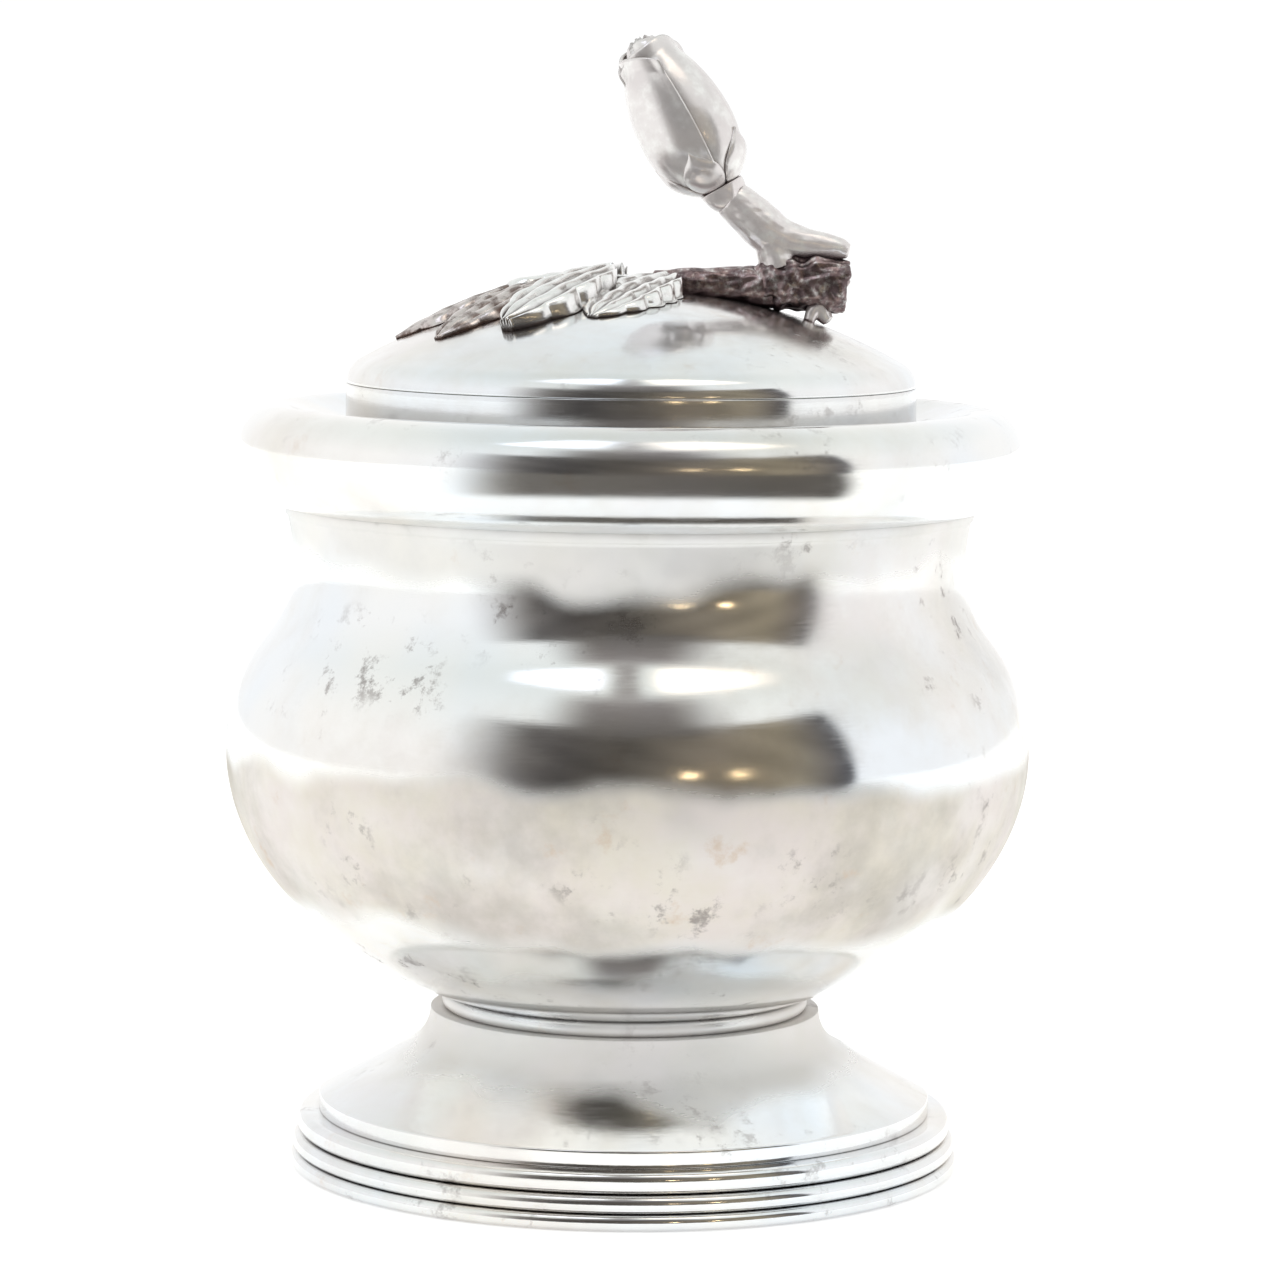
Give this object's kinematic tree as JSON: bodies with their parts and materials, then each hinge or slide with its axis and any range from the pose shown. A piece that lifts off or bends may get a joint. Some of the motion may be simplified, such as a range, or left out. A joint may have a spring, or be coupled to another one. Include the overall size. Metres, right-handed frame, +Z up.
{
  "type": "covered sugar bowl",
  "caption": "Bellied silver sugar bowl on a reeded trumpet foot, with a rolled rim and a lift-off domed lid that carries a cast rosebud and leaf-spray finial.",
  "frame": {"origin": "centre of the base wire's flat resting face, on the bowl's axis", "axes": "+Z up along the bowl's axis; +X towards the cut end of the finial's branch, so that the bud leans towards -X; -Y is the front"},
  "size_m": [0.09, 0.09, 0.1268],
  "materials": {
    "bowl_silver": "polished silver with light brown and grey tarnish below the belly",
    "rim_silver": "polished silver, lightly scratched",
    "foot_silver": "polished silver with dark grooves",
    "lid_silver": "polished silver with a grey haze",
    "fastener_silver": "satin silver, tarnished",
    "leaf_silver": "cast silver, polished on the high places and oxidised in the recesses",
    "branch_silver": "cast silver, heavily oxidised",
    "bud_silver": "cast silver, polished with oxidised folds"
  },
  "bodies": {
    "bowl": {"bowl_shell": "bowl_silver", "rim_moulding": "rim_silver", "lid_seat": "rim_silver", "joint_bead": "foot_silver", "foot_trumpet": "foot_silver", "foot_upper_ring": "foot_silver", "foot_lower_ring": "foot_silver", "foot_base_wire": "foot_silver"},
    "lid": {"lid_dome": "lid_silver", "lid_collar": "lid_silver", "lid_bezel": "lid_silver", "finial_stud": "fastener_silver", "finial_washer": "fastener_silver", "finial_nut": "fastener_silver", "spray_boss": "leaf_silver", "leaf_stalk": "leaf_silver", "leaf_tip": "leaf_silver", "leaf_front_left": "leaf_silver", "leaf_front_middle": "leaf_silver", "leaf_front_right": "leaf_silver", "leaf_back_left": "leaf_silver", "leaf_back_right": "leaf_silver", "twig": "branch_silver", "branch_stump": "branch_silver", "branch_spur": "branch_silver", "bud_stem": "branch_silver", "bud_hip": "branch_silver", "bud_sepals": "bud_silver", "bud_heart": "bud_silver", "petal_back": "bud_silver", "petal_left": "bud_silver", "petal_right": "bud_silver"}
  },
  "joints": [
    {"name": "lid_lift", "type": "slide", "parent": "bowl", "child": "lid", "axis": [0, 0, 1], "range_m": [0, 0.06]}
  ]
}
